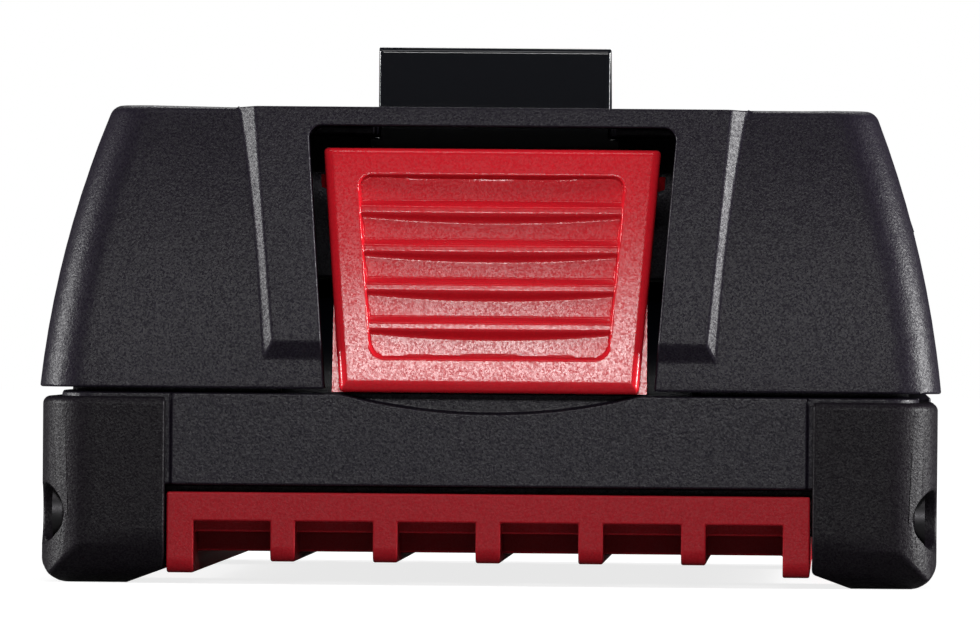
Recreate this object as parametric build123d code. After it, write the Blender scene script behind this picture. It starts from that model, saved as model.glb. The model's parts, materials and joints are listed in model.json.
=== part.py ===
from build123d import *
import math
import os

# Slide-on battery pack for power tools. Millimetres. X runs across the pack, Y runs back from the button end,
# Z is up, and the origin is on the ground under the middle of the pack. The cells set the size of the rest.

# walls and clearances
wall = 2.4
overrun = 1.0
fit = 0.05
slip = 0.3

# cells
cell_count = 5
cell_diameter = 18.4
cell_length = 65.2
cell_gap = 0.2
cell_pitch = cell_diameter + cell_gap
nub_diameter = 6.0
nub_height = 0.9
cell_rim = 0.6

# room round the row of cells
cell_row_setback = 15.8
cell_row_end_room = 11.4
cell_side_room = 7.6
body_width = cell_length + 2 * cell_side_room
body_length = cell_row_setback + (cell_count - 1) * cell_pitch + cell_diameter + cell_row_end_room
half_width = body_width / 2
half_length = body_length / 2

# heights from the tub's floor up to the board
tub_underside = 4.6
floor_thickness = 2.0
foam_thickness = 0.5
foam_gap = 0.1
holder_cover = 0.6
standoff_height = 1.0
board_thickness = 1.6
floor_top = tub_underside + floor_thickness
cell_axis_height = floor_top + foam_thickness + foam_gap + cell_diameter / 2
holder_top = cell_axis_height + cell_diameter / 2 + holder_cover
board_underside = holder_top + standoff_height
board_top = board_underside + board_thickness
seam_rise = 1.0
seam_height = cell_axis_height + seam_rise

# screws that hold the board
board_screw_shank = 1.8
board_screw_head = 3.6
board_screw_head_height = 1.0
board_screw_length = 5.0
board_headroom = 0.2

# shoulders, rail platform and front block
groove_height = 4.8
tongue_thickness = 4.6
block_rise = 0.8
shoulder_height = board_top + board_screw_head_height + board_headroom + wall
tongue_underside = shoulder_height + groove_height
platform_top = tongue_underside + tongue_thickness
shell_top = platform_top + block_rise
deck_underside = shell_top - wall
block_depth = 29.0
platform_end_setback = 8.0
shoulder_edge = 0.8
tongue_edge = 0.7
block_back = block_depth - half_length
platform_end = half_length - platform_end_setback

# leaning outer walls of the upper housing
wall_lean = 6.1
wall_bulge = 0.9
shell_corner = 4.5
shell_edge = 1.3

# release button
button_top_width = 30.1
button_taper = 3.5
button_bottom_width = button_top_width - button_taper
button_bottom_gap = 0.25
button_recess = 0.3
button_skin = 2.0
button_skirt = 1.5
button_corner = 0.4
button_travel = 5.0
flange_width = 0.7
flange_setback = 1.7
flange_drop = 2.4
skirt_back = 9.4

# button pocket
thumb_gap = 2.0
pocket_cover = 1.7
pocket_top_gap = 1.4
pocket_seam_gap = 1.35
pocket_corner = 1.1
pocket_depth = 11.0
pocket_top_width = button_top_width + 2 * pocket_top_gap
pocket_seam_width = button_bottom_width + 2 * pocket_seam_gap
pocket_top_height = shell_top - pocket_cover
button_top = pocket_top_height - thumb_gap

# dished panel and ridges on the button
panel_depth = 0.9
panel_top_margin = 2.95
panel_bottom_margin = 2.7
panel_top_drop = 2.3
panel_bottom_rise = 2.7
panel_corner = 1.2
panel_top_width = button_top_width - 2 * panel_top_margin
panel_bottom_width = button_bottom_width - 2 * panel_bottom_margin
panel_top = button_top - panel_top_drop
panel_bottom = seam_height + panel_bottom_rise
ridge_count = 4
ridge_pitch = 3.5
ridge_height = 0.75
ridge_slope = 1.9
ridge_top_gap = 3.1
ridge_first = panel_top - ridge_top_gap

# stop lugs on the button's skirts
lug_reach = 3.4
lug_thickness = 2.4
lug_height = 1.6
lug_drop = 2.9
lug_middle = button_top - lug_drop

# raised frame round the button pocket
frame_top_rim = 6.55
frame_foot_rim = 6.25
frame_bevel = 1.7
frame_proud_top = 1.4
frame_proud_middle = 0.8
frame_proud_lip = 0.85
frame_lip_rise = 4.2
frame_foot_rise = 2.7
frame_root = 1.2
frame_top_width = pocket_top_width + 2 * frame_top_rim
frame_foot_width = pocket_seam_width + 2 * frame_foot_rim
frame_lip_height = seam_height + frame_lip_rise
frame_foot_height = seam_height + frame_foot_rise

# corner bumpers
bumper_side_inset = 0.3
bumper_end_proud = 0.8
bumper_seam_gap = 0.8
bumper_skin = 1.7
bumper_gap = 0.5
bumper_reach = 11.1
bumper_run = 26.0
bumper_corner = 5.0
bumper_top_edge = 0.7
bumper_side_round = 2.5
bumper_end_round = 5.0
bumper_width = body_width - 2 * bumper_side_inset
bumper_length = body_length + 2 * bumper_end_proud
bumper_top = seam_height - bumper_seam_gap
foot_rise = 1.3
foot_rise_run = 3.5

# screw recess in each bumper
recess_diameter = 5.3
recess_rise = 1.6
recess_setback = 3.6
recess_depth = 2.3
recess_height = tub_underside + recess_rise
boss_diameter = 7.4
boss_reach = 3.9
bumper_screw_head = 4.8
bumper_screw_head_height = 1.2
bumper_screw_shank = 2.2
bumper_screw_length = 6.4

# lower housing
tub_side_inset = 0.8
tub_end_inset = 0.4
tub_seam_gap = 0.4
tub_corner = 5.0
tub_side_wall = 2.2
tub_end_wall = 3.3
cavity_corner = 2.0
band_width = bumper_width - 2 * (bumper_reach + bumper_gap)
tub_width = body_width - 2 * tub_side_inset
tub_length = body_length - 2 * tub_end_inset
tub_top = seam_height - tub_seam_gap
cavity_width = bumper_width - 2 * (bumper_skin + tub_side_wall)
cavity_length = bumper_length - 2 * (bumper_skin + tub_end_wall)
rebate_rise = 4.2
rebate_depth = 3.4
rebate_wall = 2.2
rebate_top = tub_underside + rebate_rise
low_cavity_top = rebate_top + rebate_wall
low_cavity_length = tub_length - 2 * (rebate_depth + rebate_wall)
lip_rise = 2.0
lip_clearance = 0.5
lip_corner = 2.2
lip_top = seam_height + lip_rise
lip_width = body_width - 2 * (wall + lip_clearance)
lip_length = body_length - 2 * (wall + lip_clearance)
scoop_width = button_bottom_width
scoop_drop = 1.7
scoop_depth = 1.7

# skid tray
tray_end_inset = 0.2
tray_thickness = 1.8
tray_top_gap = 0.65
slot_rise = 1.0
slot_depth = 8.0
slot_skin = 0.8
rib_count = 5
rib_width = 2.2
rib_height = 0.8
rib_nose = 1.4
end_rail_width = 2.4
end_rail_height = 1.85
peg_diameter = 4.0
peg_height = 1.7
peg_place_shares = (0.35, 0.25)
tray_width = band_width + 2 * slip
tray_length = body_length - 2 * tray_end_inset
tray_bottom = tub_underside - tray_thickness
tray_band_top = rebate_top - tray_top_gap
slot_top = tub_underside + slot_rise
rib_pitch = (tray_width - end_rail_width) / (rib_count + 1)
rib_bottom = tray_bottom - rib_height
end_rail_bottom = tray_bottom - end_rail_height

# screws that join the housings
screw_side_setback = 3.0
screw_end_setback = 2.9
screw_head = 5.2
screw_head_height = 2.0
screw_shank = 3.0
screw_length = 20.0
screw_seat_rise = 0.8
screw_boss_lower = 6.8
screw_boss_upper = 6.4
screw_access = 5.8
boss_cover = 6.6
drive_diameter = 1.8
drive_depth = 0.9
screw_place = (cavity_width / 2 - screw_side_setback, cavity_length / 2 - screw_end_setback)
screw_seat = floor_top + screw_seat_rise
upper_boss_top = screw_seat + screw_length + boss_cover

# latch hook and its slide plate
hook_width = 20.8
hook_rise = 5.45
hook_nose = 2.3
hook_ramp_rise = 0.8
hook_edge = 0.35
hook_reach = 6.5
hook_top = shell_top + hook_rise
hook_ramp_foot = shell_top + hook_ramp_rise
plate_side = 0.8
plate_thickness = 2.6
plate_setback = 11.1
slot_clearance = 0.35
plate_width = hook_width + 2 * plate_side
plate_shoulder = deck_underside - slip
plate_front = plate_setback - half_length
plate_back = plate_front + plate_thickness

# foot of the slide plate and the springs under it
foot_lift = 1.1
foot_thickness = 2.0
foot_front_reach = 2.3
foot_back_reach = 0.6
foot_underside = seam_height + foot_lift
foot_top = foot_underside + foot_thickness
spring_place = 7.5
spring_wire = 0.7
spring_mean_radius = 2.15
spring_turns = 5.5
spring_back = 11.8
post_diameter = 3.0
post_gap = 0.9
post_height = (foot_underside - floor_top - button_travel - post_gap) / 2
spring_row = spring_back - half_length

# guides in the upper housing, and the ribs that run in them
cheek_gap = 3.55
cheek_thickness = 1.6
cheek_rise = 1.2
cheek_lip_gap = 0.5
cross_wall_gap = 0.6
cross_wall_thickness = 2.0
guide_rib_width = 1.4
guide_rib_height = 7.0
tongue_rib_width = 1.5
tongue_rib_reach = 2.4
tongue_rib_drop = 0.4
tongue_rib_gap = 0.2
cheek_inner_width = button_top_width + 2 * cheek_gap
cheek_bottom = holder_top + cheek_rise
cheek_low_bottom = lip_top + cheek_lip_gap
guide_rib_top = cheek_bottom + guide_rib_height
tongue_rib_bottom = cheek_bottom - tongue_rib_drop
tongue_rib_top = guide_rib_top - tongue_rib_gap

# ramps that turn the button's push into the hook's fall
finger_width = 3.0
finger_place = 6.5
finger_rise = 13.6
finger_reach = 7.1
finger_top = seam_height + finger_rise
ramp_gap = 0.1
ramp_front_reach = 2.9
ramp_root = 4.0
window_margin = 0.4

# holders, links, insulators and foam
holder_depth = 9.4
holder_margin = 0.8
holder_end = 0.8
holder_window_rim = 1.7
holder_web_gap = 5.0
standoff_diameter = 4.5
standoff_setback = 3.6
link_thickness = 0.3
link_height = 8.0
link_margin = 4.0
link_tab_width = 4.0
link_recess = 0.2
insulator_thickness = 0.3
insulator_margin = 0.6
foam_side_setback = 10.6
holder_window = cell_diameter - 2 * holder_window_rim
standoff_place = cell_length / 2 - standoff_setback
first_cell = cell_row_setback + cell_diameter / 2 - half_length
cell_rows = [first_cell + index * cell_pitch for index in range(cell_count)]
standoff_rows = [(cell_rows[0] + cell_rows[1]) / 2, (cell_rows[-2] + cell_rows[-1]) / 2]
holder_front = cell_rows[0] - cell_diameter / 2 - holder_margin
holder_back = cell_rows[-1] + cell_diameter / 2 + holder_margin

# circuit board and its parts
board_overhang = 0.6
board_margin = 0.1
board_front_trim = 6.6
board_width = cell_length + 2 * board_overhang
chip_size = (9.0, 9.0, 1.0)
chip_place = (-8.0, -6.0)
switch_size = (6.4, 9.0, 2.2)
switch_count = 3
switch_pitch = 8.2
switch_row = 14.0
shunt_size = (10.0, 4.0, 1.4)
shunt_place = (9.0, -8.0)
bead_diameter = 2.4
bead_length = 4.0
lead_diameter = 0.5
lead_spacing = 2.2

# socket for the tool's blades
socket_count = 5
socket_pitch = 7.5
socket_width = 2.6
socket_floor = 2.2
socket_front_wall = 4.0
socket_side_wall = 5.5
block_length = 22.2
block_headroom = 0.8
block_side_gap = 1.1
deck_slot_width = 3.0
contact_leaf = 0.5
contact_gap = 1.1
contact_length = 11.0
contact_height = 6.0
contact_base = 0.6
contact_inset = 3.4
contact_leg_width = 0.8
contact_leg_length = 2.0
block_width = (socket_count - 1) * socket_pitch + 2 * socket_side_wall
block_height = platform_top - wall - block_headroom - board_top

# rail the tool slides on, as wide as the socket needs
groove_depth = 5.5
neck_width = block_width + 2 * (block_side_gap + wall)
tongue_width = neck_width + 2 * groove_depth

corners = [(side, end) for side in (-1, 1) for end in (-1, 1)]


def slab(x_span, y_span, z_span):
    """Straight block between three pairs of faces, each pair in either order."""
    spans = (x_span, y_span, z_span)
    centre = [(start + end) / 2 for start, end in spans]
    return Pos(*centre) * Box(*[abs(end - start) for start, end in spans])


def rod(diameter, x, y, z_span):
    """Upright round bar."""
    low, high = sorted(z_span)
    return Pos(x, y, (low + high) / 2) * Cylinder(diameter / 2, high - low)


def cross_rod(diameter, x_span, y, z):
    """Round bar lying across the pack."""
    low, high = sorted(x_span)
    return Pos((low + high) / 2, y, z) * Rot(0, 90, 0) * Cylinder(diameter / 2, high - low)


def drawn_across(outline, x_span):
    """Solid whose side view is the outline, given in (y, z)."""
    start, end = sorted(x_span)
    return Pos(start, 0, 0) * extrude(Plane.YZ * outline, end - start)


def drawn_back(outline, y_span):
    """Solid whose front view is the outline, given in (x, z)."""
    start, end = sorted(y_span)
    return Pos(0, end, 0) * extrude(Plane.XZ * outline, end - start)


def polygon(*points):
    return make_face(Polyline(*points, close=True))


def rounded_slab(width, length, corner, z_span):
    """Upright block with rounded plan corners, centred on the pack."""
    low, high = sorted(z_span)
    return Pos(0, 0, low) * extrude(RectangleRounded(width, length, corner), high - low)


def wall_inset(height):
    """How far the leaning wall stands in from its foot at this height: a shallow arc."""
    rise = shell_top - seam_height
    chord = math.hypot(wall_lean, rise)
    radius = (chord**2 / 4 + wall_bulge**2) / (2 * wall_bulge)
    centre_in = wall_lean / 2 + (radius - wall_bulge) * rise / chord
    centre_up = seam_height + rise / 2 - (radius - wall_bulge) * wall_lean / chord
    return centre_in - math.sqrt(radius**2 - (height - centre_up) ** 2)


def leaning_outline(half_foot, low, high):
    """View of a block whose two sides lean in along the wall's arc."""
    middle = (low + high) / 2
    foot, waist, head = (half_foot - wall_inset(height) for height in (low, middle, high))
    return make_face(
        [
            Line((-foot, low), (foot, low)),
            ThreePointArc((foot, low), (waist, middle), (head, high)),
            Line((head, high), (-head, high)),
            ThreePointArc((-head, high), (-waist, middle), (-foot, low)),
        ]
    )


def leaning_block(margin, low, high, corner):
    """The leaning body, drawn in by a margin on every side."""
    half_x = half_width - margin
    half_y = half_length - margin
    across = drawn_back(leaning_outline(half_x, low, high), (-half_length, half_length))
    along = drawn_across(leaning_outline(half_y, low, high), (-half_width, half_width))
    block = across & along
    uprights = [edge for edge in block.edges() if edge.bounding_box().size.Z > (high - low) / 2]
    return fillet(uprights, corner)


def frame_face(height):
    """Front face of the raised frame at this height, before its lip."""
    lip_y = wall_inset(frame_lip_height) - half_length - frame_proud_lip
    top_y = wall_inset(shell_top) - half_length - frame_proud_top
    middle_height = (frame_lip_height + shell_top) / 2
    middle_y = wall_inset(middle_height) - half_length - frame_proud_middle
    share = (height - frame_lip_height) / (shell_top - frame_lip_height)
    straight = lip_y + share * (top_y - lip_y)
    bow = middle_y - (lip_y + top_y) / 2
    return straight + bow * 4 * share * (1 - share)


def face_points(low, high, setback):
    """Three points down a face that follows the raised frame, for an arc."""
    middle = (low + high) / 2
    return [(frame_face(height) + setback, height) for height in (low, middle, high)]


def tapered_outline(bottom_width, top_width, bottom, top):
    return polygon(
        (-bottom_width / 2, bottom),
        (bottom_width / 2, bottom),
        (top_width / 2, top),
        (-top_width / 2, top),
    )


def button_frame():
    """Raised frame round the pocket, with bevelled sides and a lip at its foot."""
    low, middle, high = face_points(frame_lip_height, shell_top, 0)
    foot_y = wall_inset(frame_foot_height) - half_length
    top_root = wall_inset(shell_top) - half_length + frame_root
    side_view = make_face(
        [
            ThreePointArc(low, middle, high),
            Line(high, (top_root, shell_top)),
            Line((top_root, shell_top), (foot_y + frame_root, frame_foot_height)),
            Line((foot_y + frame_root, frame_foot_height), (foot_y, frame_foot_height)),
            Line((foot_y, frame_foot_height), low),
        ]
    )
    block = drawn_across(side_view, (-half_width, half_width))
    outline = tapered_outline(frame_foot_width, frame_top_width, frame_foot_height, shell_top)
    block = block & drawn_back(outline, (-half_length - overrun, half_length))
    tall = (shell_top - frame_lip_height) / 2
    uprights = [edge for edge in block.edges() if edge.bounding_box().size.Z > tall]
    front_edges = sorted(uprights, key=lambda edge: edge.center().Y)[:2]
    return chamfer(front_edges, frame_bevel)


def upper_outer():
    """Outside of the upper housing: leaning body, front block, frame and T-shaped rail platform."""
    full = leaning_block(0, seam_height, shell_top, shell_corner)
    across = (-half_width, half_width)
    front = full & slab(across, (-half_length, block_back), (seam_height, shell_top))
    front = fillet(front.faces().sort_by(Axis.Z)[-1].edges(), shell_edge)
    body = full & slab(across, (-half_length, half_length), (seam_height, shoulder_height))
    body = fillet(body.faces().sort_by(Axis.Z)[-1].edges(), shoulder_edge)
    run = (block_back - overrun, platform_end)
    neck = slab((-neck_width / 2, neck_width / 2), run, (shoulder_height - overrun, platform_top))
    tongue = slab((-tongue_width / 2, tongue_width / 2), run, (tongue_underside, platform_top))
    tongue = fillet(tongue.edges().filter_by(Axis.Y), tongue_edge)
    return front + body + neck + tongue + button_frame()


def upper_inner():
    """Hollow of the upper housing, one wall inside its outside."""
    full = leaning_block(wall, seam_height - overrun, deck_underside, shell_corner - wall)
    across = (-half_width, half_width)
    front = full & slab(across, (-half_length, block_back - wall), (0, deck_underside))
    body = full & slab(across, (-half_length, half_length), (0, shoulder_height - wall))
    neck = slab(
        (wall - neck_width / 2, neck_width / 2 - wall),
        (block_back - wall - overrun, platform_end - wall),
        (shoulder_height - wall - overrun, platform_top - wall),
    )
    return front + body + neck


def pocket_cut():
    """Opening for the button, open at the seam."""
    outline = tapered_outline(pocket_seam_width, pocket_top_width, seam_height - fit, pocket_top_height)
    outline = fillet(outline.vertices().sort_by(Axis.Y)[-2:], pocket_corner)
    return drawn_back(outline, (-half_length - overrun, pocket_depth - half_length))


def latch_guides():
    """Cheeks, cross wall and grooved ribs that keep the button and the hook square."""
    inner = cheek_inner_width / 2
    outer = inner + cheek_thickness
    wall_front = plate_front + hook_reach + cross_wall_gap
    wall_back = wall_front + cross_wall_thickness
    high = deck_underside + overrun
    guides = slab((-inner, inner), (wall_front, wall_back), (cheek_bottom, high))
    rib_slot_outer = hook_width / 2 + slip
    rib_slot_inner = rib_slot_outer - tongue_rib_width - 2 * slip
    for side in (-1, 1):
        span = (side * inner, side * outer)
        guides += slab(span, (-half_length, wall_back), (cheek_bottom, high))
        guides += slab(span, (-half_length, plate_back), (cheek_low_bottom, cheek_bottom))
        for near, far in (
            (rib_slot_outer, rib_slot_outer + guide_rib_width),
            (rib_slot_inner, rib_slot_inner - guide_rib_width),
        ):
            rib = (side * near, side * far)
            guides += slab(rib, (plate_back + slip, wall_front), (cheek_bottom, guide_rib_top))
    return guides


def upper_housing():
    outer = upper_outer()
    shell = outer - upper_inner()
    x, y = screw_place
    extras = latch_guides()
    for side, end in corners:
        extras += rod(screw_boss_upper, side * x, end * y, (seam_height, upper_boss_top))
    shell += extras & outer
    shell -= pocket_cut()
    for side, end in corners:
        pilot = rod(screw_shank + 2 * fit, side * x, end * y, (0, screw_seat + screw_length + slip))
        shell -= pilot
    slot_x = hook_width / 2 + slot_clearance
    slot_y = (plate_front - slot_clearance, plate_front + hook_reach + slot_clearance)
    shell -= slab((-slot_x, slot_x), slot_y, (deck_underside - overrun, shell_top + overrun))
    slot_front = socket_front_y()
    for place in socket_places():
        span = (place - deck_slot_width / 2, place + deck_slot_width / 2)
        shell -= slab(span, (slot_front, half_length), (shoulder_height, shell_top))
    return shell


def bumper_seat_core():
    """The part of the lower housing that the bumpers wrap."""
    width = bumper_width - 2 * bumper_skin
    length = bumper_length - 2 * bumper_skin
    return rounded_slab(width, length, bumper_corner - bumper_skin, (tub_underside, tub_top))


def scoop_cut():
    """Shallow dip in the band's top edge, under the button."""
    radius = ((scoop_width / 2) ** 2 + scoop_drop**2) / (2 * scoop_drop)
    outline = Pos(0, tub_top - scoop_drop + radius) * Circle(radius)
    front = -tub_length / 2
    return drawn_back(outline, (front - overrun, front + scoop_depth))


def lower_lip():
    """Upstand that closes the seam from inside, open where the button moves."""
    lip = rounded_slab(lip_width, lip_length, lip_corner, (tub_top - overrun, lip_top))
    lip -= rounded_slab(cavity_width, cavity_length, cavity_corner, (0, shell_top))
    lip -= slab((-cheek_inner_width / 2, cheek_inner_width / 2), (-half_length, 0), (tub_top, shell_top))
    x, y = screw_place
    for side, end in corners:
        lip -= rod(screw_boss_upper + 2 * slip, side * x, end * y, (seam_height, shell_top))
    return lip


def bumper_boss_span(side):
    """X range of a bumper's inner boss, from its outer face to its seat."""
    outside = bumper_width / 2
    return (side * outside, side * (outside - boss_reach))


def lower_housing():
    tub = rounded_slab(tub_width, tub_length, tub_corner, (tub_underside, tub_top))
    reach = half_length + overrun
    for side, end in corners:
        x_span = (side * band_width / 2, side * (half_width + overrun))
        y_span = (end * (bumper_length / 2 - bumper_run - bumper_gap), end * reach)
        tub -= slab(x_span, y_span, (0, shell_top))
    tub += bumper_seat_core()
    rebate_half = tray_width / 2 + slip
    for end in (-1, 1):
        y_span = (end * (tub_length / 2 - rebate_depth), end * reach)
        tub -= slab((-rebate_half, rebate_half), y_span, (0, rebate_top))
    cavity = rounded_slab(cavity_width, cavity_length, cavity_corner, (low_cavity_top, shell_top))
    cavity += rounded_slab(cavity_width, low_cavity_length, cavity_corner, (floor_top, shell_top))
    tub -= cavity
    tub += lower_lip()
    x, y = screw_place
    recess_y = bumper_length / 2 - recess_setback
    for side, end in corners:
        corner_block = slab(
            (side * (x - screw_boss_lower / 2), side * cavity_width / 2),
            (end * (y - screw_boss_lower / 2), end * cavity_length / 2),
            (tub_underside, low_cavity_top),
        )
        tub += corner_block & bumper_seat_core()
        tub += rod(screw_boss_lower, side * x, end * y, (tub_underside, seam_height))
        tub -= rod(screw_shank + 2 * slip, side * x, end * y, (0, shell_top))
        tub -= rod(screw_head + 2 * slip, side * x, end * y, (0, screw_seat))
        tub -= cross_rod(boss_diameter + 2 * fit, bumper_boss_span(side), end * recess_y, recess_height)
        shank_end = bumper_width / 2 - recess_depth - bumper_screw_length - slip
        shank_span = (side * shank_end, side * half_width)
        tub -= cross_rod(bumper_screw_shank + 2 * fit, shank_span, end * recess_y, recess_height)
    for place in (-spring_place, spring_place):
        tub += rod(post_diameter, place, spring_row, (floor_top - overrun, floor_top + post_height))
    tub -= scoop_cut()
    peg_x, peg_y = peg_place()
    for side, end in corners:
        tub -= rod(peg_diameter + 2 * slip, side * peg_x, end * peg_y, (0, shell_top))
    return tub


def peg_place():
    """Distance of the tray's pegs from the middle, across and along."""
    across, along = peg_place_shares
    return (across * tray_width, along * tray_length)


def bumper_block():
    """Rounded lower body whose four corners the bumpers are cut from."""
    half_x = bumper_width / 2
    half_y = bumper_length / 2
    front_view = RectangleRounded(bumper_width, 2 * bumper_top, bumper_side_round)
    front_view = Pos(0, bumper_top) * front_view
    side_view = Pos(0, bumper_top) * RectangleRounded(bumper_length, 2 * bumper_top, bumper_end_round)
    block = drawn_back(front_view, (-half_y, half_y)) & drawn_across(side_view, (-half_x, half_x))
    block &= slab((-half_x, half_x), (-half_y, half_y), (0, bumper_top))
    block &= rounded_slab(bumper_width, bumper_length, bumper_corner, (0, bumper_top))
    return fillet(block.faces().sort_by(Axis.Z)[-1].edges(), bumper_top_edge)


def bumper(side, end):
    """Rubber corner cap with a foot, a screw recess and an access hole for the housing screw."""
    inner_x = band_width / 2 + bumper_gap
    outer_x = bumper_width / 2
    inner_y = bumper_length / 2 - bumper_run
    outer_y = bumper_length / 2
    block = bumper_block()
    cap = block & slab((side * inner_x, side * outer_x), (end * inner_y, end * outer_y), (0, bumper_top))
    width = bumper_width - 2 * bumper_skin + 2 * fit
    length = bumper_length - 2 * bumper_skin + 2 * fit
    corner = bumper_corner - bumper_skin + fit
    cap -= rounded_slab(width, length, corner, (tub_underside - fit, shell_top))
    x_rise = polygon(
        (side * inner_x, 0),
        (side * (inner_x + foot_rise_run), 0),
        (side * inner_x, foot_rise),
    )
    cap -= drawn_back(x_rise, (-outer_y, outer_y))
    y_rise = polygon(
        (end * inner_y, 0),
        (end * (inner_y + foot_rise_run), 0),
        (end * inner_y, foot_rise),
    )
    cap -= drawn_across(y_rise, (-outer_x, outer_x))
    recess_y = end * (outer_y - recess_setback)
    cap += cross_rod(boss_diameter, bumper_boss_span(side), recess_y, recess_height) & block
    recess_span = (side * (outer_x - recess_depth), side * (outer_x + overrun))
    cap -= cross_rod(recess_diameter, recess_span, recess_y, recess_height)
    cap -= cross_rod(bumper_screw_shank + 2 * fit, (0, side * outer_x), recess_y, recess_height)
    x, y = screw_place
    return cap - rod(screw_access, side * x, end * y, (-overrun, tub_underside))


def bumper_screws():
    """Pan head screws in the side recesses."""
    screws = []
    seat = bumper_width / 2 - recess_depth
    recess_y = bumper_length / 2 - recess_setback
    for side, end in corners:
        head_end = seat + bumper_screw_head_height
        head = cross_rod(bumper_screw_head, (side * seat, side * head_end), end * recess_y, recess_height)
        shank_span = (side * (seat - bumper_screw_length), side * seat)
        screw = head + cross_rod(bumper_screw_shank, shank_span, end * recess_y, recess_height)
        drive_span = (side * (head_end - drive_depth), side * (head_end + overrun))
        screw -= cross_rod(drive_diameter, drive_span, end * recess_y, recess_height)
        screws.append(screw)
    return screws


def housing_screws():
    """Long screws from below that hold the two housings together."""
    screws = []
    x, y = screw_place
    for side, end in corners:
        screw = rod(screw_head, side * x, end * y, (screw_seat - screw_head_height, screw_seat))
        screw += rod(screw_shank, side * x, end * y, (screw_seat, screw_seat + screw_length))
        drive_low = screw_seat - screw_head_height
        screw -= rod(drive_diameter, side * x, end * y, (drive_low, drive_low + drive_depth))
        screws.append(screw)
    return screws


def tray_core():
    """Distance from the middle to the back of the tray's front and rear bands."""
    return tub_length / 2 - rebate_depth + fit


def tray_nose(rib, end):
    """The part of a rib that stands between two slots, up to the tub and up to the band."""
    half_x = tray_width / 2
    half_y = tray_length / 2
    under_tub = (end * (half_y - slot_depth), end * half_y)
    under_band = (end * tray_core(), end * half_y)
    low = slab((-half_x, half_x), under_tub, (0, tub_underside))
    return rib & (low + slab((-half_x, half_x), under_band, (0, slot_top)))


def skid_tray():
    """Red tray clipped under the tub: front and rear bands, skids along its underside, end rails."""
    half_x = tray_width / 2
    half_y = tray_length / 2
    core_y = tray_core()
    tray = slab((-half_x, half_x), (-half_y, half_y), (tray_bottom, tub_underside))
    for end in (-1, 1):
        tray += slab((-half_x, half_x), (end * core_y, end * half_y), (tray_bottom, tray_band_top))
        reach = end * (half_y + overrun)
        tray -= slab((-half_x, half_x), (end * (core_y + slot_skin), reach), (0, slot_top))
        tray -= slab((-half_x, half_x), (end * (half_y - slot_depth), reach), (0, tub_underside))
    nosed = Pos(0, slot_top) * RectangleRounded(tray_length, 2 * (slot_top - rib_bottom), rib_nose)
    for index in range(rib_count):
        centre = (index - (rib_count - 1) / 2) * rib_pitch
        rib = drawn_across(nosed, (centre - rib_width / 2, centre + rib_width / 2))
        tray += rib & slab((-half_x, half_x), (-half_y, half_y), (0, tray_bottom + fit))
        for end in (-1, 1):
            tray += tray_nose(rib, end)
    end_height = 2 * (slot_top - end_rail_bottom)
    end_nosed = Pos(0, slot_top) * RectangleRounded(tray_length, end_height, rib_nose)
    for side in (-1, 1):
        rail = drawn_across(end_nosed, (side * half_x, side * (half_x - end_rail_width)))
        tray += rail & slab((-half_x, half_x), (-half_y, half_y), (0, tray_bottom + fit))
        for end in (-1, 1):
            tray += tray_nose(rail, end)
    peg_x, peg_y = peg_place()
    for side, end in corners:
        tray += rod(peg_diameter, side * peg_x, end * peg_y, (tray_bottom, tub_underside + peg_height))
    return tray


def button_outline(spread, bottom, top):
    """Front view of the button, spread sideways, between two heights."""
    foot = seam_height - button_bottom_gap
    slope = (button_top_width - button_bottom_width) / (button_top - foot)
    bottom_width = button_bottom_width + slope * (bottom - foot) + 2 * spread
    top_width = button_bottom_width + slope * (top - foot) + 2 * spread
    return tapered_outline(bottom_width, top_width, bottom, top)


def following_slice(outline, near, far):
    """Solid with this front view, between two setbacks from the raised frame's face."""
    box = outline.bounding_box()
    low, high = box.min.Y, box.max.Y
    front = face_points(low, high, near)
    back = face_points(low, high, far)
    side_view = make_face(
        [
            ThreePointArc(*front),
            Line(front[-1], back[-1]),
            ThreePointArc(*reversed(back)),
            Line(back[0], front[0]),
        ]
    )
    return drawn_across(side_view, (-half_width, half_width)) & drawn_back(outline, (-body_length, 0))


def finger_tip():
    """Furthest point back on a button finger."""
    return frame_face(finger_top) + finger_reach


def finger_outline():
    """Side view of a button finger: a gusset whose back face runs down and forward at 45 degrees."""
    tip = finger_tip()
    root = frame_face(finger_top) + button_recess + button_skin / 2
    low = finger_top - (tip - root)
    return polygon((root, low), (root, finger_top), (tip, finger_top))


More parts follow.
